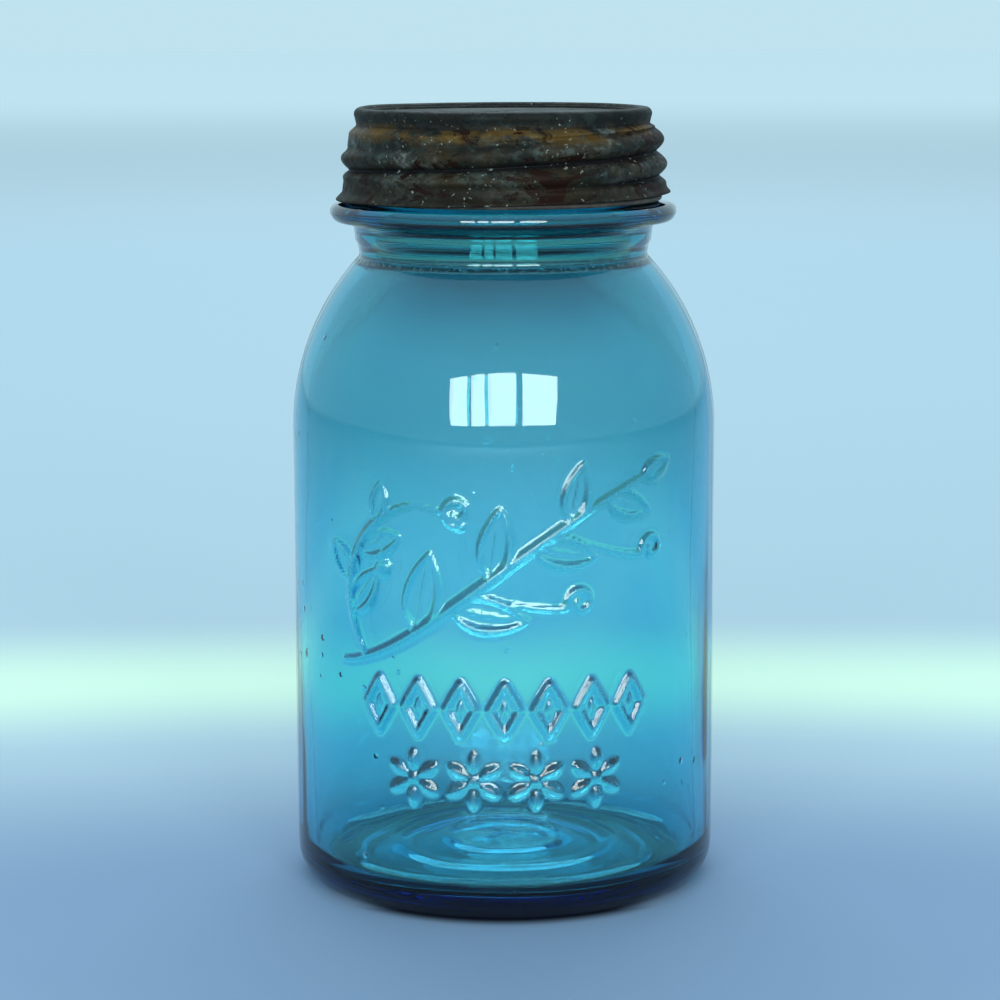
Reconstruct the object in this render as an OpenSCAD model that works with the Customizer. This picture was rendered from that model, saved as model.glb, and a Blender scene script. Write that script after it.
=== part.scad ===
// Glass canning jar with a threaded zinc cap, an opal liner disc and a rubber ring.
// Millimetres, +Z up. The jar stands on z = 0 and its axis is the Z axis.

/* [Jar body] */
// Outside diameter of the straight wall
body_d = 98.5; // [96:0.5:104]
// Height at which the shoulder leaves the straight wall
shoulder_z = 106.2; // [90:0.1:112]
// Outside radius of the rounded heel
heel_r = 7.4; // [5:0.1:10]
// Glass thickness of the wall
wall = 3.1; // [2.4:0.1:4]
// Glass thickness at the middle of the base
base_t = 4; // [3.6:0.1:8]
// Height of the push-up under the base
push_up = 4.4; // [2:0.1:7]
// Inside radius of the flat ring that the jar stands on
stand_r = 34; // [28:0.5:37]

/* [Neck and finish] */
// Height at which the shoulder meets the neck
neck_z = 146.9; // [144:0.1:149]
// Outside diameter of the neck at its narrowest
neck_d = 66.7; // [64:0.1:69]
// Outside diameter of the sealing bead
bead_d = 80; // [77:0.5:84]
// Height of the widest line of the sealing bead
bead_z = 156.9; // [155.5:0.1:157.5]
// Height of the top of the lip
lip_z = 174.8; // [173:0.1:174.8]
// Bore of the mouth
mouth_d = 58.6; // [54:0.1:60]
// Outside diameter of the plain glass under the thread
finish_d = 66.4; // [64:0.1:66.8]
// Diameter over the glass thread
thread_d = 70.4; // [68:0.1:70.6]

/* [Thread] */
// Rise of the thread in one turn
pitch = 5.7; // [5.2:0.1:6.2]
// Turns of thread on the glass
glass_turns = 1.5; // [1:0.25:1.5]

/* [Zinc cap] */
// Height of the top of the rolled rim
cap_top = 181.1; // [181:0.1:182]
// Height of the lower edge of the skirt
skirt_z = 160.2; // [160.2:0.1:161]
// Diameter over the flared lower edge
flare_d = 77.4; // [76.8:0.2:79]
// Depth of the sunk panel in the top
panel_sink = 1.3; // [1:0.1:1.6]
// Thickness of the zinc sheet
sheet = 0.6; // [0.5:0.1:0.7]
// Depth of each thread roll, from the middle of the wave to its crest
roll_depth = 1.17; // [0.9:0.01:1.25]

/* [Liner and ring] */
// Diameter of the opal liner
liner_d = 65.6; // [62:0.2:66]
// Thickness of the liner at its border
liner_t = 3.6; // [3:0.1:3.6]
// Outside diameter of the rubber ring as it sits
ring_d = 73.6; // [71:0.2:74]
// Thickness of the rubber ring as it sits
ring_t = 1.4; // [1:0.1:1.6]

/* [Hidden] */
$fn = 128;

body_r = body_d / 2;
neck_r = neck_d / 2;
bead_r = bead_d / 2;
finish_r = finish_d / 2;
mouth_r = mouth_d / 2;
bead_top_z = bead_z + 2.4;     // outer edge of the bead's upper face
ring_seat_z = bead_z + 2.9;    // where that face meets the finish wall
inner_neck_r = mouth_r + 0.5;
inner_heel_r = 6;
inner_floor_z = push_up + base_t;
floor_rise = 3.2;              // how far the inside floor bulges up over the push-up
lip_r = 1.6;

// The crest of the thread crosses the +X side at this height
thread_ref_z = 167.1;

// Points of an arc about c from angle a0 to a1, as [radius, height]
function arc(c, r, a0, a1, n = 10) =
    [for (i = [0:n]) let (a = a0 + (a1 - a0) * i / n) c + r * [cos(a), sin(a)]];

// Radius of the arc that leaves a vertical wall and moves in by dr over a rise of dz
function blend_r(dr, dz) = (dr * dr + dz * dz) / (2 * dr);

// Arc that leaves the wall at radius r0, height z0 and ends at radius r1, height z1
function shoulder_arc(r0, z0, r1, z1, n = 14) =
    let (r = blend_r(r0 - r1, z1 - z0))
    arc([r0 - r, z0], r, 0, asin((z1 - z0) / r), n);

// Shallow dome from the axis out to edge_r, where its height is edge_z
function dome_arc(rise, edge_r, edge_z, n = 8) =
    let (r = blend_r(rise, edge_r))
    [for (i = [0:n]) let (x = edge_r * i / n) [x, edge_z + rise - r + sqrt(r * r - x * x)]];

// Outside of the glass from the axis under the base up to the lip
function glass_outside() = concat(
    dome_arc(push_up, stand_r, 0),
    arc([body_r - heel_r, heel_r], heel_r, -90, 0),
    shoulder_arc(body_r, shoulder_z, neck_r + 0.1, neck_z),
    [[neck_r, neck_z + 1.1], [neck_r + 0.6, neck_z + 3.2]],
    arc([neck_r + 3.6, neck_z + 5.5], 2.6, 180, 110, 5),
    arc([bead_r - 2.2, bead_z + 0.2], 2.2, -60, 75, 8),
    [[finish_r + 0.5, ring_seat_z], [finish_r, ring_seat_z + 0.5]],
    arc([finish_r - lip_r, lip_z - lip_r], lip_r, 0, 90, 6));

// Inside of the glass from the lip down to the axis
function glass_inside() = concat(
    arc([mouth_r + lip_r, lip_z - lip_r], lip_r, 90, 180, 6),
    [[mouth_r, lip_z - 12], [inner_neck_r, neck_z + 4]],
    reversed(shoulder_arc(body_r - wall, shoulder_z, inner_neck_r, neck_z - 0.7)),
    reversed(arc([body_r - wall - inner_heel_r, inner_floor_z - floor_rise + inner_heel_r],
                 inner_heel_r, -80, 0)),
    reversed(dome_arc(floor_rise, body_r - wall - inner_heel_r, inner_floor_z - floor_rise)));

function reversed(list) = [for (i = [len(list) - 1:-1:0]) list[i]];

// Closed skin over a stack of rings between two end points. Each ring runs anticlockwise
// for an eye that looks from the first ring towards the last.
module skin(first, rings, last) {
    n = len(rings[0]);
    m = len(rings);
    end = 1 + m * n;
    points = concat([first], [for (ring = rings) each ring], [last]);
    first_fan = [for (j = [0:n - 1]) [0, 1 + (j + 1) % n, 1 + j]];
    last_fan = [for (j = [0:n - 1]) [end, end - n + j, end - n + (j + 1) % n]];
    sides = [for (i = [0:m - 2], j = [0:n - 1])
        let (a = 1 + i * n + j, b = 1 + i * n + (j + 1) % n)
        each [[a, b + n, a + n], [a, b, b + n]]];
    polyhedron(points = points, faces = concat(first_fan, last_fan, sides));
}

// Height of the thread's crest at angle a, counted on through its turns
function thread_z(a) = thread_ref_z + pitch * a / 360;

// Rounded ridge of the glass thread, sunk into the wall and diving into it at both ends
module glass_thread() {
    steps = 60;
    half_w = 1.8;
    sunk = 0.8;
    run_out = 30;
    sweep = 360 * glass_turns;
    a_end = 240;
    height = thread_d / 2 - finish_r + sunk;
    rings = [for (i = [0:steps])
        let (t = sweep * i / steps, a = a_end - sweep + t, z = thread_z(a),
             h = height * (0.12 + 0.88 * sqrt(min(1, min(t, sweep - t) / run_out))))
        [for (k = [0:6]) let (b = 180 * k / 6 - 90, r = finish_r - sunk + h * cos(b))
            [r * cos(a), r * sin(a), z + half_w * sin(b)]]];
    skin(middle(rings[0]), rings, middle(rings[steps]));
}

// Mean of a ring's points
function middle(ring) = [for (p = ring) 1] * ring / len(ring);

// Smooth step from 0 at a to 1 at b
function ease(a, b, x) = let (t = min(1, max(0, (x - a) / (b - a)))) t * t * (3 - 2 * t);

// Mean outside radius of the cap's skirt at height z: drafted wall, neck-in and flare
cap_neck_z = cap_top - 3.8;
function skirt_r(z) =
    let (wall_r = 37.2 - 0.108 * (z - 161.5))
    wall_r - 1.5 * ease(cap_neck_z - 1.9, cap_neck_z, z)
    + (flare_d / 2 - 37.3) * (1 - ease(skirt_z, skirt_z + 2.2, z));

// Heights at which the rolls start and end at angle a: they run out towards the -X side
start_rise = 3.6;
end_drop = 4;
function roll_start(a) = skirt_z + 0.8 + start_rise * (1 - cos(a)) / 2;
function roll_end(a) = cap_neck_z - 0.4 - end_drop * (1 - cos(a)) / 2;

// How much of the thread roll is present at height z and angle a
function roll_share(z, a) =
    ease(roll_start(a), roll_start(a) + 2.4, z) * (1 - ease(roll_end(a) - 2.4, roll_end(a), z));

// Rolled rim, sunk panel wall and panel, as [radius, height], offset inwards by t
rim_tube_r = 1.45;
rim_c = [33.1, cap_top - rim_tube_r];
panel_r = 31;
function cap_head(t) = concat(
    arc(rim_c, rim_tube_r - t, -10, 150, 5),
    [[panel_r + t, cap_top - panel_sink - t]]);

// Skirt from the lower edge to the neck-in, without its rolls, as [radius, height], offset inwards by t
function cap_skirt(t, n = 22) =
    [for (i = [0:n]) let (z = skirt_z + (cap_neck_z - skirt_z) * i / n) [skirt_r(z) - t, z]];

// Section of the thread rolls: round crests at phase 0 and sharp roots at phase 180
function roll(phase) = 2 * abs(cos(phase / 2)) - 1;

cap_sides = 48;
function cap_ring(row) =
    [for (j = [0:cap_sides - 1])
        let (a = 360 * j / cap_sides,
             phase = 360 * (row[1] - thread_ref_z) / pitch - a,
             r = row[0] + roll_share(row[1], a) * roll_depth * roll(phase))
        [r * cos(a), r * sin(a), row[1]]];

module glass_jar() {
    color([0.24, 0.63, 0.74, 0.6]) union() {
        rotate_extrude() polygon(concat(glass_outside(), glass_inside()));
        glass_thread();
    }
}

module sealing_ring() {
    inner = finish_r + 0.7;
    outer = ring_d / 2;
    round_r = ring_t / 2;
    z = ring_seat_z + 0.02 + round_r;
    color([0.16, 0.13, 0.12]) rotate_extrude() polygon(concat(
        arc([inner + round_r, z], round_r, 90, 270, 6),
        arc([outer - round_r, z], round_r, -90, 90, 6)));
}

module cap_liner() {
    r = liner_d / 2;
    z1 = cap_top - panel_sink - sheet - 0.3;
    z0 = z1 - liner_t;
    dish = 0.9;
    border = 8;
    color([0.93, 0.94, 0.92]) rotate_extrude() polygon([
        [0, z0 + dish], [r - border - 1, z0 + dish], [r - border, z0], [r - 0.8, z0],
        [r, z0 + 0.8], [r, z1 - 0.8], [r - 0.8, z1], [0, z1]]);
}

module zinc_cap() {
    outside = concat(cap_skirt(0), cap_head(0));
    inside = concat(cap_skirt(sheet), cap_head(sheet));
    rows = concat(reversed(outside), inside);
    panel_z = cap_top - panel_sink;
    color([0.36, 0.37, 0.34])
        skin([0, 0, panel_z], [for (row = rows) cap_ring(row)], [0, 0, panel_z - sheet]);
}

glass_jar();
sealing_ring();
cap_liner();
zinc_cap();
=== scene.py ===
"""Looks of a blue-green glass canning jar with a zinc screw cap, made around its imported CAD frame.

Outlines are worked out in millimetres, as in the CAD source, and turn into metres when a mesh is made.
The cap leans and the glass waves here only: the CAD shapes are straight.
"""

import math

import bpy
import numpy as np
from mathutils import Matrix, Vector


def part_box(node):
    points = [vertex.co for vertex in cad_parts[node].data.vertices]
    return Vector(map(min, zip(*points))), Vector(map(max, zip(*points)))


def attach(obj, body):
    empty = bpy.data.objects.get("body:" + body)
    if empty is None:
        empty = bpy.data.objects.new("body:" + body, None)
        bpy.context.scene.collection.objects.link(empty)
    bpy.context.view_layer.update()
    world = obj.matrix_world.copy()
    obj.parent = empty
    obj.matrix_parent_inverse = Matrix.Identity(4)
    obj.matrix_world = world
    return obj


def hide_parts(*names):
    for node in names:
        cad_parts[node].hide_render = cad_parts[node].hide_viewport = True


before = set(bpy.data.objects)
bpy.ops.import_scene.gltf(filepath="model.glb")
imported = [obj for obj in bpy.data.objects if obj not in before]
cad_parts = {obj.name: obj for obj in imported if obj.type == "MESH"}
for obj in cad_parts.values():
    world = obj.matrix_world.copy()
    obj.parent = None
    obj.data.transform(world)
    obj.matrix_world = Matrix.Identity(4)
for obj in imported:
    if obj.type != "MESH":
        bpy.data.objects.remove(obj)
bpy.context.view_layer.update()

MM = 0.001
FRONT = -math.pi / 2          # azimuth of the side that faces the camera


# ---------------------------------------------------------------- sizes, in millimetres
jar_low, jar_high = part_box("glass_jar")
cap_low, cap_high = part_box("zinc_cap")
liner_low, liner_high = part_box("cap_liner")
ring_low, ring_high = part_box("sealing_ring")

BODY_R = (jar_high.x - jar_low.x) / 2 / MM
LIP_Z = jar_high.z / MM
CAP_TOP = cap_high.z / MM
SKIRT_Z = cap_low.z / MM
LINER_R = liner_high.x / MM
RING_R = ring_high.x / MM

WALL = 3.1
HEEL_R = 7.4
STAND_R = 34.0
PUSH_UP = 4.4
BASE_T = 4.0
INNER_HEEL_R = 6.0
FLOOR_RISE = 3.2
BASE_RINGS = (14.0, 25.0, 35.5)    # radii of the ridges left on the inside of the base
FOOT_SHADE_Z = 5.0                  # height of the painted shade on the foot, at the front and back
FOOT_SHADE_FROM = 0.29              # share of front-facing at which the painted shade on the foot starts
SHOULDER_Z = 106.2
NECK_Z = 146.9
NECK_R = 33.35
BEAD_R = 40.0
BEAD_Z = 156.9
SEAT_Z = BEAD_Z + 2.9
FINISH_R = 33.2
THREAD_R = 35.2
MOUTH_R = 29.3
LIP_ROUND = 1.6

PITCH = 5.7
THREAD_REF_Z = 167.1
SHEET = 0.6
ROLL_DEPTH = 1.17
START_RISE = 3.6
END_DROP = 4.0
FLARE_R = 38.7
SKIRT_WALL_R, SKIRT_WALL_Z = 37.2, 161.5
SKIRT_DRAFT = 0.108
NECK_IN = 1.5
PANEL_R = 31.0
PANEL_SINK = 1.3
RIM_TUBE_R = 1.45
CAP_NECK_Z = CAP_TOP - 3.8


# ---------------------------------------------------------------- curve helpers
def arc(cx, cz, r, a0, a1, n=12):
    """Points of an arc about (cx, cz) from angle a0 to a1, in degrees."""
    a = np.radians(np.linspace(a0, a1, n + 1))
    return np.stack([cx + r * np.cos(a), cz + r * np.sin(a)], 1)


def shoulder_arc(r0, z0, r1, z1, n=40):
    """Arc that leaves a vertical wall at (r0, z0) and ends at (r1, z1)."""
    dr, dz = r0 - r1, z1 - z0
    r = (dr * dr + dz * dz) / (2 * dr)
    return arc(r0 - r, z0, r, 0, math.degrees(math.asin(dz / r)), n)


def dome_arc(rise, edge_r, edge_z, n):
    """Shallow dome from close to the axis out to edge_r, where its height is edge_z."""
    r = (rise ** 2 + edge_r ** 2) / (2 * rise)
    x = np.linspace(0.8, edge_r, n)
    return np.stack([x, edge_z + rise - r + np.sqrt(r * r - x * x)], 1)


def spaced(points, step):
    """The polyline with its points spread evenly, about step apart."""
    points = np.asarray(points, float)
    length = np.concatenate([[0], np.cumsum(np.linalg.norm(np.diff(points, axis=0), axis=1))])
    n = max(1, int(round(length[-1] / step)))
    at = np.linspace(0, length[-1], n + 1)
    return np.stack([np.interp(at, length, points[:, i]) for i in range(points.shape[1])], 1)


def joined(*parts):
    """One outline from several, without the doubled points where they meet."""
    out = [np.asarray(parts[0], float)]
    for part in parts[1:]:
        part = np.asarray(part, float)
        out.append(part[1:] if np.allclose(part[0], out[-1][-1], atol=1e-6) else part)
    return np.concatenate(out)


def ease(a, b, x):
    """Smooth step from 0 at a to 1 at b."""
    t = np.clip((x - a) / (b - a), 0, 1)
    return t * t * (3 - 2 * t)


def bezier(p0, p1, p2, p3, n=32):
    """Cubic curve through its two end points."""
    t = np.linspace(0, 1, n + 1)[:, None]
    p0, p1, p2, p3 = (np.asarray(p, float) for p in (p0, p1, p2, p3))
    return (1 - t) ** 3 * p0 + 3 * t * (1 - t) ** 2 * p1 + 3 * t * t * (1 - t) * p2 + t ** 3 * p3


def ripple(a, z, seed, scale):
    """Smooth irregular value between about -1 and 1 over azimuth a and height z."""
    rng = np.random.default_rng(seed)
    total = np.zeros(np.broadcast(a, z).shape)
    for _ in range(9):
        turns = rng.integers(1, 7)
        total += np.sin(turns * a + rng.uniform(0, 6.3) + z / scale * rng.uniform(0.3, 1.6))
    return total / 4.5


# ---------------------------------------------------------------- mesh helper
def skin(name, rows, closed_start=None, closed_end=None):
    """Mesh over a grid of points (row, column, xyz) in mm. Columns run all the way round.
    closed_start and closed_end are the points on the axis that close its two ends."""
    m, n, _ = rows.shape
    verts = rows.reshape(-1, 3)
    col = np.arange(n)
    nxt = (col + 1) % n
    base = (np.arange(m - 1) * n)[:, None]
    quads = np.stack([base + col, base + nxt, base + n + nxt, base + n + col], -1).reshape(-1, 4)
    faces = quads.tolist()
    extra = []
    if closed_start is not None:
        extra.append(closed_start)
        tip = len(verts)
        faces += np.stack([np.full(n, tip), nxt, col], 1).tolist()
    if closed_end is not None:
        extra.append(closed_end)
        tip = len(verts) + len(extra) - 1
        last = (m - 1) * n
        faces += np.stack([np.full(n, tip), last + col, last + nxt], 1).tolist()
    if extra:
        verts = np.concatenate([verts, np.array(extra, float)])
    mesh = bpy.data.meshes.new(name)
    mesh.from_pydata((verts * MM).tolist(), [], faces)
    mesh.validate()
    mesh.polygons.foreach_set("use_smooth", [True] * len(mesh.polygons))
    obj = bpy.data.objects.new(name, mesh)
    bpy.context.scene.collection.objects.link(obj)
    return obj


def turned(radius, height, azimuth):
    """Grid of xyz points from radius and height (row, column) and azimuth (column)."""
    a = np.broadcast_to(azimuth, radius.shape)
    return np.stack([radius * np.cos(a), radius * np.sin(a), height], -1)


def spread(outline, columns):
    """Radius and height of an outline, repeated over the columns of a mesh."""
    return (np.repeat(outline[:, i: i + 1], len(columns), 1) for i in range(2))


def point_value(obj, name, values):
    """Stores one number per vertex, for the material to read."""
    layer = obj.data.attributes.new(name, "FLOAT", "POINT")
    full = np.zeros(len(obj.data.vertices), np.float32)
    full[: values.size] = values.ravel()
    layer.data.foreach_set("value", full)


# ---------------------------------------------------------------- relief on the front of the jar
def stroke(height, s, z, line, w0, w1, h, tip=0.25):
    """Raises a chiselled ridge along a line. w0 is the half width at its ends, w1 in the middle."""
    line = np.asarray(line, float)
    reach = max(w0, w1)
    near = ((s > line[:, 0].min() - reach) & (s < line[:, 0].max() + reach)
            & (z > line[:, 1].min() - reach) & (z < line[:, 1].max() + reach))
    if not near.any():
        return
    ps, pz = s[near], z[near]
    best = np.zeros(ps.shape)
    n = len(line) - 1
    for i in range(n):
        (x0, y0), (x1, y1) = line[i], line[i + 1]
        dx, dy = x1 - x0, y1 - y0
        t = np.clip(((ps - x0) * dx + (pz - y0) * dy) / (dx * dx + dy * dy + 1e-9), 0, 1)
        d = np.hypot(ps - x0 - t * dx, pz - y0 - t * dy)
        w = w0 + (w1 - w0) * np.sin(math.pi * (i + t) / n)
        up = 1 - (np.sqrt(d * d + tip * tip) - tip) / (np.sqrt(w * w + tip * tip) - tip)
        best = np.maximum(best, np.clip(up, 0, 1) * np.minimum(1, w / reach) ** 0.5)
    height[near] = np.maximum(height[near], h * best)


def dome(height, s, z, cx, cz, r, h):
    """Raises a round boss."""
    d = np.hypot(s - cx, z - cz) / r
    height[:] = np.maximum(height, h * np.sqrt(np.clip(1 - d * d, 0, 1)))


def leaf(height, s, z, base, angle, length, width, h):
    """Outline of a pointed leaf with a midrib; the lower edge is the heavier one."""
    base = np.asarray(base, float)
    along = np.array([math.cos(angle), math.sin(angle)])
    across = np.array([-along[1], along[0]])
    tip = base + along * length
    for side, heavy in ((1, 0.9), (-1, 1.5)):
        bulge = across * side * width
        edge = bezier(base, base + along * length * 0.18 + bulge,
                      base + along * length * 0.62 + bulge * 0.95, tip, 14)
        stroke(height, s, z, edge, 0.55, heavy, h)
    stroke(height, s, z, bezier(base, base + along * length * 0.3, base + along * length * 0.5,
                                base + along * length * 0.8, 6), 0.4, 0.65, h * 0.55)


def tendril(height, s, z, start, aim, bend, size, flip, h):
    """A thin stalk from start to aim, bent aside, that ends in a curl."""
    start, aim, bend = (np.asarray(p, float) for p in (start, aim, bend))
    stalk = bezier(start, start + bend, aim + bend * 0.6, aim, 14)
    heading = math.atan2(*(stalk[-1] - stalk[-2])[::-1])
    lead = heading - flip * math.pi / 2
    turn = np.linspace(0, 2.6 * math.pi, 30)[1:]
    r = size * (1 - 0.3 * turn / math.pi)
    centre = aim - size * np.array([math.cos(lead), math.sin(lead)])
    a = lead + flip * turn
    curl = np.stack([centre[0] + r * np.cos(a), centre[1] + r * np.sin(a)], 1)
    stroke(height, s, z, np.concatenate([stalk, curl]), 0.45, 1.15, h)


def sprig(height, s, z):
    """A leafy branch with berries and curled tendrils, rising from lower left to upper right."""
    stem = bezier((-40, 58.5), (-18, 61), (2, 90), (36, 102), 40)
    stroke(height, s, z, stem, 0.8, 1.9, 1.1)
    slope = np.arctan2(*np.gradient(stem, axis=0).T[::-1])
    for k, at in enumerate((12, 17, 22, 27, 31, 35)):
        side = 1 if k % 2 == 0 else -1
        size = 18.5 - 1.3 * k
        leaf(height, s, z, stem[at], slope[at] + side * math.radians(46), size, size * 0.29, 1.0)
    leaf(height, s, z, stem[-2], slope[-1], 8.5, 2.4, 0.9)
    branch = bezier(stem[4], (-42, 72), (-38, 92), (-21, 95.5), 24)
    stroke(height, s, z, branch, 0.7, 1.9, 1.1)
    lean = np.arctan2(*np.gradient(branch, axis=0).T[::-1])
    for at, side, size in ((6, -1, 12.5), (10, 1, 10.0), (14, -1, 12.0), (19, 1, 8.5)):
        leaf(height, s, z, branch[at], lean[at] + side * math.radians(46), size, size * 0.3, 0.95)
    tendril(height, s, z, branch[-1], (-9.5, 91), (5, 0.5), 3.6, -1, 0.9)
    tendril(height, s, z, stem[20], (14, 73), (3, -3), 3.4, -1, 0.85)
    tendril(height, s, z, stem[30], (33, 84), (3, -4), 3.0, -1, 0.85)
    start = branch[19]
    end = start + (1.5, -9.5)
    stroke(height, s, z, bezier(start, start + (0.3, -4), end + (0, 3), end, 10), 0.5, 0.6, 0.6)
    dome(height, s, z, end[0], end[1] - 1.2, 2.3, 1.1)


def lozenge_band(height, s, z, mid_z, count, pitch, half_w, half_h):
    """A row of raised diamond frames with a pip in each."""
    for k in range(count):
        cx = (k - (count - 1) / 2) * pitch
        corners = [(cx - half_w, mid_z), (cx, mid_z + half_h),
                   (cx + half_w, mid_z), (cx, mid_z - half_h)]
        for i in range(4):
            stroke(height, s, z, [corners[i], corners[(i + 1) % 4]], 1.3, 1.4, 1.1, 0.12)
        stroke(height, s, z, [(cx, mid_z - 1.8), (cx, mid_z + 1.8)], 0.7, 1.2, 0.9, 0.12)


def rosette_band(height, s, z, mid_z, count, pitch, radius):
    """A row of six-petalled rosettes."""
    for k in range(count):
        cx = (k - (count - 1) / 2) * pitch
        for petal in range(6):
            a = math.pi / 3 * petal + math.pi / 6
            inner = (cx + 1.6 * math.cos(a), mid_z + 1.6 * math.sin(a))
            outer = (cx + radius * math.cos(a), mid_z + radius * math.sin(a))
            stroke(height, s, z, spaced([inner, outer], 0.8), 0.5, 1.75, 1.1, 0.12)
        dome(height, s, z, cx, mid_z, 1.5, 0.9)


def relief(s, z):
    """Height of the moulded ornament at arc position s and height z."""
    height = np.zeros(s.shape)
    sprig(height, s, z)
    lozenge_band(height, s, z, mid_z=49.8, count=7, pitch=9.9, half_w=3.4, half_h=5.9)
    rosette_band(height, s, z, mid_z=33.6, count=4, pitch=14.0, radius=6.5)
    return height


# ---------------------------------------------------------------- glass jar
RELIEF_LOW, RELIEF_HIGH = 24.0, 110.0


def glass_outside():
    """Outline of the glass from the axis under the base up to the lip."""
    under = dome_arc(PUSH_UP, STAND_R, 0, 24)
    heel = arc(BODY_R - HEEL_R, HEEL_R, HEEL_R, -90, 0, 16)
    shoulder = shoulder_arc(BODY_R, SHOULDER_Z, NECK_R + 0.1, NECK_Z)
    step_z = NECK_Z + 3.3
    neck = [[NECK_R + 0.1, NECK_Z], [NECK_R - 0.1, NECK_Z + 0.6], [NECK_R, NECK_Z + 1.3],
            [NECK_R + 0.35, step_z - 0.25], [NECK_R + 0.75, step_z + 0.1]]
    under_bead = arc(NECK_R + 3.6, NECK_Z + 5.5, 2.6, 180, 110, 6)
    bead = arc(BEAD_R - 2.2, BEAD_Z + 0.2, 2.2, -60, 75, 12)
    seat = [bead[-1], [FINISH_R + 0.9, SEAT_Z - 0.1], [FINISH_R + 0.15, SEAT_Z + 0.25],
            [FINISH_R, SEAT_Z + 0.9]]
    lip = arc(FINISH_R - LIP_ROUND, LIP_Z - LIP_ROUND, LIP_ROUND, 0, 90, 7)
    return joined(
        under, spaced([under[-1], heel[0]], 1.8), heel,
        spaced([heel[-1], [BODY_R, RELIEF_LOW]], 2.8),
        spaced([[BODY_R, RELIEF_LOW], [BODY_R, SHOULDER_Z]], 0.66),
        spaced(shoulder[:4], 0.7), spaced(shoulder[3:], 1.5),
        neck, under_bead, bead, seat,
        spaced([[FINISH_R, SEAT_Z + 0.9], lip[0]], 0.62), lip)


def glass_inside():
    """Outline of the glass from the lip down to the axis on the inside floor."""
    floor_z = PUSH_UP + BASE_T
    lip = arc(MOUTH_R + LIP_ROUND, LIP_Z - LIP_ROUND, LIP_ROUND, 90, 180, 6)
    inner_neck = MOUTH_R + 0.5
    shoulder = shoulder_arc(BODY_R - WALL, SHOULDER_Z, inner_neck, NECK_Z - 0.7, 24)[::-1]
    floor_r, edge_z = BODY_R - WALL - INNER_HEEL_R, floor_z - FLOOR_RISE
    corner = arc(floor_r, edge_z + INNER_HEEL_R, INNER_HEEL_R, 0, -80, 12)
    return joined(
        lip, spaced([lip[-1], [inner_neck, NECK_Z + 4]], 4), [[inner_neck, NECK_Z + 1.2]],
        shoulder, spaced([shoulder[-1], corner[0]], 4.5), corner,
        dome_arc(FLOOR_RISE, floor_r, edge_z, 42)[::-1])


def jar_columns():
    """Azimuths of the mesh: close together over the relief and at the two mould seams."""
    half = math.radians(52)
    front = FRONT + np.linspace(-half, half, 169)
    back = np.linspace(front[-1], front[0] + 2 * math.pi, 86)[1:-1]
    seams = np.concatenate([c + np.radians([-0.9, -0.3, 0.3, 0.9]) for c in (0, math.pi)])
    back = back[np.min(np.abs(back[:, None] - np.array([0, math.pi])), 1) > math.radians(1.5)]
    return np.sort(np.concatenate([front, back, seams]))


def thread_height(azimuth, z):
    """Height of the glass thread, one and a half turns that dive into the wall at both ends."""
    a_end, sweep, run_out = math.radians(240), math.radians(540), math.radians(30)
    out = np.zeros(np.broadcast(azimuth, z).shape)
    for turn in (-1, 0, 1):
        a = azimuth + 2 * math.pi * turn
        along = a_end - a
        share = np.clip(np.minimum(along, sweep - along) / run_out, 0, 1) ** 0.5
        d = np.abs(z - THREAD_REF_Z - PITCH * a / (2 * math.pi)) / 1.75
        out = np.maximum(out, share * np.sqrt(np.clip(1 - d * d, 0, 1)))
    return (THREAD_R - FINISH_R) * out


def make_glass_jar():
    """One closed skin: the outside with its relief, thread and seams, then the wavy inside."""
    outside, inside = glass_outside(), glass_inside()
    columns = jar_columns()
    radius, height = spread(outside, columns)
    azimuth = np.broadcast_to(columns, radius.shape)
    wall_share = ease(4, 14, height) * (1 - ease(138, 146, height))
    seam = np.exp(-(np.minimum(np.abs(azimuth), np.abs(azimuth - math.pi)) / 0.009) ** 2)
    radius = radius + 0.10 * wall_share * ripple(azimuth, height, 4, 22)
    radius += 0.22 * seam * ease(2, 8, height) * (1 - ease(158, 160, height))
    arc_at = (azimuth - FRONT) * BODY_R
    raised = relief(arc_at, height) * (height > RELIEF_LOW - 1) * (height < RELIEF_HIGH)
    radius += raised
    on_finish = (height > SEAT_Z + 0.9) & (height < LIP_Z - 0.5)
    radius += np.where(on_finish, thread_height(azimuth, height), 0)

    inner_r, inner_z = spread(inside, columns)
    inner_a = np.broadcast_to(columns, inner_r.shape)
    loose = (1 - ease(144, 152, inner_z)) * ease(3, 20, inner_r)
    inner_r = inner_r - 0.32 * loose * (1 + ripple(inner_a, inner_z, 11, 30))
    rings = sum(np.exp(-((inner_r - r) / 1.7) ** 2) for r in BASE_RINGS)
    on_floor = 1 - ease(14, 24, inner_z)
    inner_z = inner_z + on_floor * (0.35 * ripple(inner_a, inner_r, 12, 14) + 0.45 * rings)

    rows = np.concatenate([turned(radius, height, columns), turned(inner_r, inner_z, columns)])
    jar = skin("aqua_glass_jar", rows, (0, 0, PUSH_UP), (0, 0, inside[-1, 1]))
    # Painted shade: relief faces that face up and to the left are stored for the material to darken.
    rise = np.gradient(raised, axis=1) / np.gradient(arc_at, axis=1)
    fall = -np.gradient(raised, axis=0) / np.maximum(0.3, np.gradient(height, axis=0))
    point_value(jar, "relief_painted_shade", np.clip(0.75 * fall + 0.55 * rise, 0, 1))
    point_value(jar, "relief_top", raised)
    # Painted shade: the outside of the foot is stored for the material to darken, higher at the front and
    # back.
    facing = (np.abs(np.sin(azimuth)) - FOOT_SHADE_FROM) / (1 - FOOT_SHADE_FROM)
    dark_z = FOOT_SHADE_Z * np.clip(facing, 0.02, 1) ** 0.7
    point_value(jar, "foot", (1 - ease(0.65, 1.0, height / dark_z)) * ease(27, 32, radius))
    return jar


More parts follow.
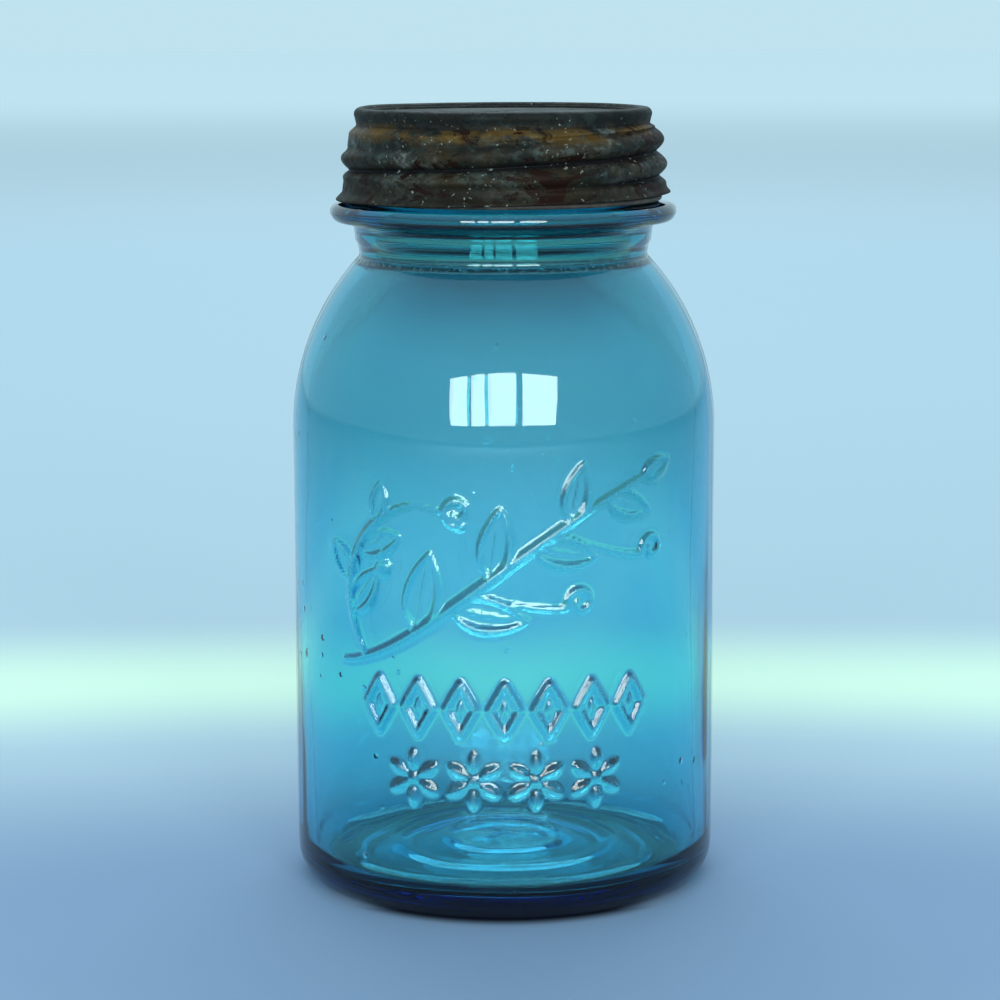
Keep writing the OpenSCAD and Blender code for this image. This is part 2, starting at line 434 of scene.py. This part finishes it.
# ---------------------------------------------------------------- zinc cap
def skirt_r(z):
    """Mean outside radius of the skirt: drafted wall, neck-in under the rim, flare at the edge."""
    wall_r = SKIRT_WALL_R - SKIRT_DRAFT * (z - SKIRT_WALL_Z)
    return (wall_r - NECK_IN * ease(CAP_NECK_Z - 1.9, CAP_NECK_Z, z)
            + (FLARE_R - 37.3) * (1 - ease(SKIRT_Z, SKIRT_Z + 2.2, z)))


def roll_share(z, a):
    """How much of the thread roll is present at height z and azimuth a; it runs out towards -X."""
    start = SKIRT_Z + 0.8 + START_RISE * (1 - np.cos(a)) / 2
    end = CAP_NECK_Z - 0.4 - END_DROP * (1 - np.cos(a)) / 2
    return ease(start, start + 2.4, z) * (1 - ease(end - 2.4, end, z))


def cap_outline(offset, step):
    """Outline of the cap from the edge of the skirt to the middle of the panel, without its rolls."""
    z = np.arange(SKIRT_Z + 0.35, CAP_NECK_Z, step)
    skirt = np.stack([skirt_r(z) - offset, z], 1)
    rim = arc(33.1, CAP_TOP - RIM_TUBE_R, RIM_TUBE_R - offset, -25, 152, 18)
    panel_z = CAP_TOP - PANEL_SINK - offset
    foot = arc(PANEL_R + offset - 0.5, panel_z + 0.45, 0.45, 0, -90, 4)
    panel = spaced([[PANEL_R - 1.2, panel_z], [24.5, panel_z], [23.8, panel_z + 0.22],
                    [0.9, panel_z + 0.3]], 1.8)
    return np.concatenate([skirt, rim, foot, panel])


def make_zinc_cap():
    """The pressed shell: helical rolls with sharp roots, rolled rim, sunk panel, dents and a slight lean."""
    outside, inside = cap_outline(0, 0.22), cap_outline(SHEET, 0.5)
    edge = np.array([[FLARE_R - SHEET * 0.95, SKIRT_Z + 0.12],
                     [FLARE_R - SHEET / 2, SKIRT_Z],
                     [FLARE_R - 0.08, SKIRT_Z + 0.12]])
    path = np.concatenate([inside[::-1], edge, outside])
    columns = np.linspace(0, 2 * math.pi, 301)[:-1]
    radius, height = spread(path, columns)
    phase = 2 * math.pi * (height - THREAD_REF_Z) / PITCH - columns
    share = roll_share(height, columns)
    radius = radius + share * ROLL_DEPTH * (2 * np.sqrt(np.cos(phase / 2) ** 2 + 0.004) - 1)
    root = share * (1 - np.abs(np.cos(phase / 2)))
    under_rim = np.exp(-((height - CAP_NECK_Z) / 0.7) ** 2) * (radius > 30)
    skewed = 1 - ease(CAP_NECK_Z - 3, CAP_NECK_Z + 1, height)
    radius += 0.22 * ease(20, 30, radius) * ripple(columns, height, 21, 9)
    height = height + 0.12 * ripple(columns, radius, 22, 12) + skewed * (0.45 + 0.75 * np.cos(columns))
    cap = skin("aged_zinc_cap", turned(radius, height, columns),
               (0, 0, inside[-1, 1]), (0, 0, outside[-1, 1]))
    # Painted shade: the roots of the rolls and the crease under the rim are stored for the material to
    # darken.
    point_value(cap, "recess_shade", np.maximum(root, 0.75 * under_rim))
    return cap


# ---------------------------------------------------------------- liner and ring
def make_liner():
    """Opal disc: flat back, thick border and moulded rings round its dished underside."""
    z0, z1 = liner_low.z / MM, liner_high.z / MM
    r = LINER_R
    dish = [[0.8, z0 + 0.9], [5, z0 + 0.9], [5.6, z0 + 0.6], [6.4, z0 + 0.6], [7, z0 + 0.9],
            [15, z0 + 0.9], [15.6, z0 + 0.6], [16.4, z0 + 0.6], [17, z0 + 0.9],
            [r - 9.4, z0 + 0.9], [r - 8.2, z0 + 0.15], [r - 7.4, z0], [r - 0.9, z0]]
    border = arc(r - 0.9, z0 + 0.9, 0.9, -90, 0, 6)
    back = arc(r - 0.9, z1 - 0.9, 0.9, 0, 90, 6)
    path = joined(spaced(dish, 0.5), border, back, spaced([back[-1], [0.8, z1]], 2.5))
    columns = np.linspace(0, 2 * math.pi, 161)[:-1]
    radius, height = spread(path, columns)
    return skin("opal_liner", turned(radius, height, columns), (0, 0, z0 + 0.9), (0, 0, z1))


def make_ring():
    """Rubber ring, squeezed flat, with fine grooves round its upper face."""
    z0, z1 = ring_low.z / MM, ring_high.z / MM
    r0, r1 = FINISH_R + 0.7, RING_R
    half = (z1 - z0) / 2
    mid = (z0 + z1) / 2
    inner = arc(r0 + half, mid, half, 90, 270, 10)
    outer = arc(r1 - half, mid, half, -90, 90, 10)
    top_r = np.linspace(r1 - half, r0 + half, 18)
    top = np.stack([top_r, z1 - 0.06 * (1 - np.cos(np.arange(18) * math.pi))], 1)
    path = joined(inner, spaced([inner[-1], outer[0]], 0.4), outer, top)
    path = path[:-1]
    columns = np.linspace(0, 2 * math.pi, 181)[:-1]
    radius, height = spread(path, columns)
    height = np.clip(height + 0.02 * ripple(columns, radius, 31, 5), z0, z1)
    grid = turned(radius, height, columns)
    return skin("rubber_ring", np.concatenate([grid, grid[:1]]))


# ---------------------------------------------------------------- materials
class Nodes:
    """Short names for building one node material."""

    def __init__(self, name):
        self.material = bpy.data.materials.new(name)
        self.material.use_nodes = True
        self.tree = self.material.node_tree
        self.shader = self.tree.nodes["Principled BSDF"]
        self.out = self.tree.nodes["Material Output"]
        self.coords = self.tree.nodes.new("ShaderNodeTexCoord").outputs["Object"]

    def link(self, a, b):
        """Joins output a to input b."""
        self.tree.links.new(a, b)

    def node(self, kind, **values):
        """New node, with its own settings set."""
        made = self.tree.nodes.new(kind)
        for key, value in values.items():
            setattr(made, key, value)
        return made

    def fill(self, socket, value):
        """Links a socket to a value that is an output, or else sets it to the value."""
        if isinstance(value, bpy.types.NodeSocket):
            self.link(value, socket)
        else:
            socket.default_value = value

    def noise(self, scale, detail=4.0, rough=0.55, stretch=(1, 1, 1), offset=(0, 0, 0), warp=0.0):
        """Fractal noise on the object's own coordinates, 0 to 1."""
        place = self.node("ShaderNodeMapping")
        self.link(self.coords, place.inputs["Vector"])
        place.inputs["Scale"].default_value = stretch
        place.inputs["Location"].default_value = offset
        made = self.node("ShaderNodeTexNoise")
        self.link(place.outputs["Vector"], made.inputs["Vector"])
        made.inputs["Scale"].default_value = scale
        made.inputs["Detail"].default_value = detail
        made.inputs["Roughness"].default_value = rough
        made.inputs["Distortion"].default_value = warp
        return made.outputs["Fac"]

    def cells(self, scale, feature="F1"):
        """Voronoi cells on the object's own coordinates."""
        made = self.node("ShaderNodeTexVoronoi", feature=feature)
        self.link(self.coords, made.inputs["Vector"])
        made.inputs["Scale"].default_value = scale
        return made

    def math(self, op, a, b=0.0, clamp=False):
        made = self.node("ShaderNodeMath", operation=op, use_clamp=clamp)
        self.fill(made.inputs[0], a)
        self.fill(made.inputs[1], b)
        return made.outputs[0]

    def ranged(self, value, low, high, to_low=0.0, to_high=1.0):
        """Smooth step of a value: to_low below low, to_high above high."""
        made = self.node("ShaderNodeMapRange", interpolation_type="SMOOTHSTEP")
        self.link(value, made.inputs["Value"])
        limits = {"From Min": low, "From Max": high, "To Min": to_low, "To Max": to_high}
        for key, number in limits.items():
            made.inputs[key].default_value = number
        return made.outputs["Result"]

    def mix(self, share, a, b):
        """Colour a where share is 0, colour b where it is 1."""
        made = self.node("ShaderNodeMix", data_type="RGBA")
        self.fill(made.inputs[0], share)
        for socket, value in ((made.inputs[6], a), (made.inputs[7], b)):
            self.fill(socket, value if isinstance(value, bpy.types.NodeSocket) else (*value, 1.0))
        return made.outputs[2]

    def along(self, axis):
        """Object coordinate along X, Y or Z, in metres."""
        split = self.node("ShaderNodeSeparateXYZ")
        self.link(self.coords, split.inputs["Vector"])
        return split.outputs[axis]

    def bump(self, height, strength, distance, normal=None):
        """Normal bent by a height, on top of another normal."""
        made = self.node("ShaderNodeBump")
        self.link(height, made.inputs["Height"])
        made.inputs["Strength"].default_value = strength
        made.inputs["Distance"].default_value = distance
        if normal is not None:
            self.link(normal, made.inputs["Normal"])
        return made.outputs["Normal"]

    def set(self, **values):
        """Sets inputs of the main shader, named with underscores."""
        for key, value in values.items():
            self.fill(self.shader.inputs[key.replace("_", " ")], value)


def glass_material():
    """Clear blue-green glass, coloured through its thickness, with waves, seeds and a rough chill ring;
    painted shade darkens its shoulder, neck, relief facets and foot.
    """
    m = Nodes("aqua_glass")
    wave = m.noise(38, 2.0, 0.5, (1, 1, 0.6))
    normal = m.bump(wave, 0.35, 0.0006)
    seed = m.ranged(m.cells(150).outputs["Distance"], 0.02, 0.13, 1.0, 0.0)
    rare = m.ranged(m.noise(45, 1.0), 0.60, 0.64)
    normal = m.bump(m.math("MULTIPLY", seed, rare), 0.9, 0.0004, normal)
    z = m.along("Z")
    chill = m.math("MULTIPLY", m.ranged(z, (NECK_Z - 1.5) * MM, (NECK_Z - 0.9) * MM),
                   m.ranged(z, (NECK_Z - 0.5) * MM, (NECK_Z + 0.1) * MM, 1.0, 0.0))
    grain = m.noise(850, 3.0, 0.7)
    normal = m.bump(m.math("MULTIPLY", chill, grain), 0.6, 0.0005, normal)
    m.link(normal, m.shader.inputs["Normal"])
    top = m.node("ShaderNodeAttribute", attribute_name="relief_top").outputs["Fac"]
    scuffs = m.ranged(m.noise(240, 4.0, 0.7), 0.40, 0.60, 0.08, 0.42)
    worn = m.math("MULTIPLY", m.ranged(top, 0.40, 0.95), scuffs)
    film = m.ranged(m.noise(60, 3.0), 0.35, 0.8, 0.0, 0.035)
    m.link(m.math("MAXIMUM", worn, film), m.shader.inputs["Roughness"])
    # Painted shade: the shoulder darkens towards its top, most in the middle of its front and back, and the
    # neck above the chill ring is darker and greener.
    tint = m.mix(m.ranged(z, 0.075, 0.112), (1.0, 1.0, 1.0), (0.80, 0.79, 0.77))
    middle = m.ranged(m.math("ABSOLUTE", m.along("X")), 0.014, 0.036, 1.0, 0.35)
    tint = m.mix(m.math("MULTIPLY", m.ranged(z, 0.124, 0.143), middle), tint, (0.40, 0.47, 0.50))
    tint = m.mix(m.ranged(z, 0.1455, 0.1475), tint, (0.48, 0.60, 0.52))
    tint = m.mix(m.ranged(z, 0.009, 0.020, 1.0, 0.0), tint, (1.0, 0.91, 0.87))
    tint = m.mix(m.math("MULTIPLY", chill, m.ranged(grain, 0.40, 0.50)), tint, (0.01, 0.03, 0.03))
    # painted shade: relief faces that face up and to the left turn dark
    facet_shade = m.node("ShaderNodeAttribute", attribute_name="relief_painted_shade").outputs["Fac"]
    tint = m.mix(m.ranged(facet_shade, 0.15, 0.55, 0.0, 0.88), tint, (0.09, 0.12, 0.14))
    # painted shade: the foot is darkened almost to black, higher at the front and back
    foot = m.node("ShaderNodeAttribute", attribute_name="foot").outputs["Fac"]
    tint = m.mix(foot, tint, (0.02, 0.02, 0.04))
    m.link(tint, m.shader.inputs["Base Color"])
    m.set(Transmission_Weight=1.0, IOR=1.5)
    volume = m.node("ShaderNodeVolumeAbsorption")
    volume.inputs["Color"].default_value = (0.0, 0.80, 0.912, 1.0)
    volume.inputs["Density"].default_value = 300.0
    m.link(volume.outputs["Volume"], m.out.inputs["Volume"])
    return m.material


def zinc_material():
    """Old zinc sheet: grey-green oxide, ochre and dark red-brown corrosion, pale specks, and painted shade
    in the roots of the rolls and under the rim.
    """
    m = Nodes("aged_zinc")
    recess_shade = m.node("ShaderNodeAttribute", attribute_name="recess_shade").outputs["Fac"]
    z = m.along("Z")
    blotch = m.noise(46, 6.0, 0.64, (1, 1, 1.8), (3.1, 0.4, 1.7), 0.4)
    fine = m.noise(430, 5.0, 0.72)
    mottle = m.noise(150, 5.0, 0.7, (1, 1, 1.4), (5.0, 1.0, 4.0))
    base = m.mix(m.ranged(blotch, 0.38, 0.62), (0.006, 0.009, 0.008), (0.044, 0.056, 0.055))
    pale = m.ranged(m.noise(60, 5.0, 0.65, (1, 1, 1.5), (7.7, 2.0, 0.3)), 0.57, 0.68)
    base = m.mix(pale, base, (0.095, 0.10, 0.092))
    base = m.mix(m.ranged(mottle, 0.44, 0.58, 0.0, 0.8), base, (0.008, 0.008, 0.007))
    base = m.mix(m.ranged(fine, 0.44, 0.56, 0.0, 0.75), base, (0.005, 0.005, 0.005))
    rust = m.ranged(m.noise(62, 6.0, 0.66, (1, 1, 2.4), (1.3, 5.0, 9.0), 0.3), 0.40, 0.60)
    under_rim = m.math("MULTIPLY", m.ranged(z, (CAP_NECK_Z - 4.0) * MM, (CAP_NECK_Z - 1.8) * MM),
                       m.ranged(z, CAP_NECK_Z * MM, (CAP_NECK_Z + 1.2) * MM, 1.0, 0.0))
    ochre = m.math("MULTIPLY", rust, m.math("ADD", m.math("MULTIPLY", under_rim, 0.72), 0.16))
    base = m.mix(ochre, base, (0.080, 0.042, 0.009))
    at_skirt = m.ranged(z, (SKIRT_Z + 3.0) * MM, (SKIRT_Z + 6.0) * MM, 0.85, 0.0)
    brown = m.math("MULTIPLY", at_skirt, m.ranged(mottle, 0.35, 0.65, 1.0, 0.5))
    base = m.mix(brown, base, (0.010, 0.0075, 0.005))
    patch = m.ranged(m.noise(52, 7.0, 0.70, (1, 1, 2.0), (11.0, 3.3, 2.2), 0.6), 0.535, 0.57)
    base = m.mix(m.math("MULTIPLY", patch, 0.95), base, (0.0085, 0.0024, 0.0014))
    on_rim = m.ranged(z, (CAP_NECK_Z - 0.4) * MM, (CAP_NECK_Z + 1.5) * MM, 0.0, 0.78)
    base = m.mix(on_rim, base, (0.006, 0.007, 0.007))
    # painted shade: the roots of the rolls and the crease under the rim go almost black
    base = m.mix(m.math("MULTIPLY", m.ranged(recess_shade, 0.35, 0.95), 0.95), base, (0.003, 0.003, 0.004))
    speck = m.math("MULTIPLY", m.ranged(m.noise(980, 2.0, 0.5, offset=(4, 4, 4)), 0.65, 0.72),
                   m.ranged(m.noise(90, 2.0), 0.46, 0.56))
    base = m.mix(speck, base, (0.13, 0.14, 0.125))
    m.link(base, m.shader.inputs["Base Color"])
    m.link(m.ranged(blotch, 0.3, 0.7, 0.62, 0.46), m.shader.inputs["Roughness"])
    m.link(m.ranged(patch, 0.0, 1.0, 0.2, 0.0), m.shader.inputs["Metallic"])
    m.set(Specular_IOR_Level=0.06)
    normal = m.bump(fine, 0.65, 0.00035)
    normal = m.bump(m.noise(130, 5.0, 0.65), 0.6, 0.0008, normal)
    normal = m.bump(m.math("SUBTRACT", 1.0, patch), 0.5, 0.0004, normal)
    m.link(normal, m.shader.inputs["Normal"])
    return m.material


def opal_material():
    """White opal glass: milky body with faint cloudy swirls under a glossy skin."""
    m = Nodes("opal_glass")
    cloud = m.ranged(m.noise(35, 4.0, 0.6, (1, 1, 1), (2, 1, 0), 1.2), 0.35, 0.7)
    m.link(m.mix(cloud, (0.86, 0.87, 0.84), (0.74, 0.77, 0.75)), m.shader.inputs["Base Color"])
    m.link(m.ranged(m.noise(140, 3.0), 0.3, 0.7, 0.10, 0.24), m.shader.inputs["Roughness"])
    m.link(m.bump(m.noise(90, 2.0), 0.2, 0.0003), m.shader.inputs["Normal"])
    m.set(IOR=1.5, Subsurface_Weight=0.25, Subsurface_Scale=0.002)
    return m.material


def rubber_material():
    """Aged rubber: dark brown, dusty, with fine cracks."""
    m = Nodes("ring_rubber")
    dust = m.ranged(m.noise(220, 5.0, 0.7), 0.4, 0.75)
    m.link(m.mix(dust, (0.035, 0.024, 0.02), (0.10, 0.085, 0.075)), m.shader.inputs["Base Color"])
    m.link(m.ranged(dust, 0, 1, 0.6, 0.9), m.shader.inputs["Roughness"])
    crack = m.ranged(m.cells(600, "DISTANCE_TO_EDGE").outputs["Distance"], 0.0, 0.08)
    m.link(m.bump(crack, 0.4, 0.0002), m.shader.inputs["Normal"])
    return m.material


# ---------------------------------------------------------------- stage, light and camera
# The floor is deep blue near the object, as painted shade, and grey blue further out, with a mint band
# of painted light behind the object and a pale distance. Distances are in metres from a point in front of
# the object, and its rings are ellipses, longer to the left and right.
DEEP_BLUE_SHADE = (0.15, 0.21, 0.31)
GREY_BLUE = (0.30, 0.37, 0.42)
MINT_HIGHLIGHT = (0.45, 0.57, 0.46)
PALE = (0.75, 0.79, 0.80)
BLUE_ENDS, GREY_STARTS = 0.05, 0.20
BAND_STARTS, BAND_AT, BAND_ENDS = 0.17, 0.25, 0.35
PALE_STARTS, PALE_FULL = 1.3, 5.5
FLOOR_CENTRE_Y = -0.05
FLOOR_STRETCH = 0.45
HORIZON = (0.53, 0.765, 0.87)
OVERHEAD = (0.76, 1.06, 1.18)


def make_floor():
    """Matt floor plane: painted shade in deep blue round the object, a bright ring of painted light behind
    it, pale in the distance.
    """
    mesh = bpy.data.meshes.new("floor")
    r = 10.0
    mesh.from_pydata([(-r, -r, 0), (r, -r, 0), (r, r, 0), (-r, r, 0)], [], [(0, 1, 2, 3)])
    floor = bpy.data.objects.new("floor", mesh)
    bpy.context.scene.collection.objects.link(floor)
    m = Nodes("floor_painted_shade_and_light")
    squash = m.node("ShaderNodeMapping")
    m.link(m.coords, squash.inputs["Vector"])
    squash.inputs["Location"].default_value = (0, -FLOOR_CENTRE_Y, 0)
    squash.inputs["Scale"].default_value = (FLOOR_STRETCH, 1, 1)
    away = m.node("ShaderNodeVectorMath", operation="LENGTH")
    m.link(squash.outputs["Vector"], away.inputs[0])
    away = away.outputs["Value"]
    # painted shade: deep blue round the object, centred a little in front of it
    ground = m.mix(m.ranged(away, BLUE_ENDS, GREY_STARTS), DEEP_BLUE_SHADE, GREY_BLUE)
    # painted light: a bright mint ring that shows as a band behind the object
    band = m.math("MULTIPLY", m.ranged(away, BAND_STARTS, BAND_AT),
                  m.ranged(away, BAND_AT, BAND_ENDS, 1.0, 0.0))
    ground = m.mix(band, ground, MINT_HIGHLIGHT)
    ground = m.mix(m.ranged(away, PALE_STARTS, PALE_FULL), ground, PALE)
    # Painted shadow under the jar: black in a ring below its heel and greenish grey below the middle of its
    # base; at the left and right the ground colour shows instead of black.
    axis = m.node("ShaderNodeVectorMath", operation="LENGTH")
    m.link(m.coords, axis.inputs[0])
    under = m.ranged(axis.outputs["Value"], 0.026, 0.036, 1.0, 0.0)
    shaded = m.mix(under, (0.004, 0.004, 0.012), (0.22, 0.31, 0.31))
    at_sides = m.math("MULTIPLY", m.ranged(m.math("ABSOLUTE", m.along("X")), 0.022, 0.036),
                      m.ranged(under, 0.0, 1.0, 1.0, 0.0))
    beside = m.math("MAXIMUM", m.ranged(axis.outputs["Value"], 0.0430, 0.0490), at_sides)
    m.link(m.mix(beside, shaded, ground), m.shader.inputs["Base Color"])
    m.set(Roughness=0.9, Specular_IOR_Level=0.1)
    mesh.materials.append(m.material)


def make_world():
    """Even pale-blue studio surround that grows brighter overhead."""
    world = bpy.data.worlds.new("studio")
    world.use_nodes = True
    bpy.context.scene.world = world
    tree = world.node_tree
    coords = tree.nodes.new("ShaderNodeTexCoord")
    split = tree.nodes.new("ShaderNodeSeparateXYZ")
    tree.links.new(coords.outputs["Generated"], split.inputs["Vector"])
    ramp = tree.nodes.new("ShaderNodeValToRGB")
    tree.links.new(split.outputs["Z"], ramp.inputs["Fac"])
    ramp.color_ramp.elements[0].color = (*HORIZON, 1)
    ramp.color_ramp.elements[1].color = (*OVERHEAD, 1)
    tree.links.new(ramp.outputs["Color"], tree.nodes["Background"].inputs["Color"])


WINDOW_DISTANCE = 2.0
WINDOW_LIFT = math.radians(17.5)
WINDOW_HEIGHT = 0.80
PANES = ((-1.00, -0.62), (-0.54, -0.30), (-0.24, 0.22), (0.34, 1.00))
WINDOW_HALF_WIDTH = 1.05
WINDOW_RADIANCE = 14.0
BACK_RADIANCE = 5.0


def make_soft_light():
    """Large soft light from behind and above, which draws the shadow forward."""
    light = bpy.data.lights.new("back_soft", "AREA")
    light.shape = "RECTANGLE"
    light.size = 2.2
    light.size_y = 1.4
    light.energy = BACK_RADIANCE * math.pi * light.size * light.size_y
    light.color = (0.80, 0.95, 1.0)
    soft = bpy.data.objects.new("back_soft", light)
    soft.location = (0, 1.7, 2.0)
    soft.rotation_euler = (-math.radians(40), 0, 0)
    bpy.context.scene.collection.objects.link(soft)


def make_window():
    """Soft light through tall panes, in front of the object and above the camera."""
    for i, (left, right) in enumerate(PANES):
        light = bpy.data.lights.new("window_pane", "AREA")
        light.shape = "RECTANGLE"
        light.size = (right - left) * WINDOW_HALF_WIDTH
        light.size_y = WINDOW_HEIGHT
        light.energy = WINDOW_RADIANCE * math.pi * light.size * light.size_y
        light.color = (0.86, 1.0, 0.97)
        pane = bpy.data.objects.new(f"window_pane_{i}", light)
        pane.location = ((left + right) / 2 * WINDOW_HALF_WIDTH,
                         -WINDOW_DISTANCE * math.cos(WINDOW_LIFT),
                         0.12 + WINDOW_DISTANCE * math.sin(WINDOW_LIFT))
        pane.rotation_euler = (math.pi / 2 - WINDOW_LIFT, 0, 0)
        bpy.context.scene.collection.objects.link(pane)


CAMERA_BACK = 0.7085
CAMERA_SIDE = -0.0006
CAMERA_HEIGHT = 0.2074
CAMERA_DOWN = math.radians(9.48)
CAMERA_ROLL = math.radians(0.16)
CAMERA_LENS = 109.7


def make_camera():
    """Long lens, a little above the cap, looking down on the jar."""
    data = bpy.data.cameras.new("camera")
    data.lens = CAMERA_LENS
    data.sensor_width = 36.0
    camera = bpy.data.objects.new("camera", data)
    camera.location = (CAMERA_SIDE, -CAMERA_BACK, CAMERA_HEIGHT)
    camera.rotation_euler = (math.pi / 2 - CAMERA_DOWN, CAMERA_ROLL, 0)
    bpy.context.scene.collection.objects.link(camera)
    bpy.context.scene.camera = camera


def set_render():
    """Colour management and light paths; many bounces, because light crosses eight glass faces."""
    scene = bpy.context.scene
    scene.view_settings.view_transform = "Standard"
    scene.cycles.max_bounces = 24
    scene.cycles.transmission_bounces = 24
    scene.cycles.glossy_bounces = 10
    scene.cycles.sample_clamp_indirect = 8.0
    scene.cycles.use_denoising = True


# ---------------------------------------------------------------- assembly
def place(obj, material, body, node, slot):
    """Gives a piece its finish and its body, and lets it stand for its CAD node."""
    obj.data.materials.clear()
    obj.data.materials.append(material)
    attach(obj, body)
    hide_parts(node)


make_camera()
place(make_glass_jar(), glass_material(), "jar", "glass_jar", "aqua_glass")
place(make_ring(), rubber_material(), "jar", "sealing_ring", "ring_rubber")
place(make_liner(), opal_material(), "liner", "cap_liner", "opal_glass")
place(make_zinc_cap(), zinc_material(), "cap", "zinc_cap", "aged_zinc")
make_floor()
make_world()
make_window()
make_soft_light()
set_render()
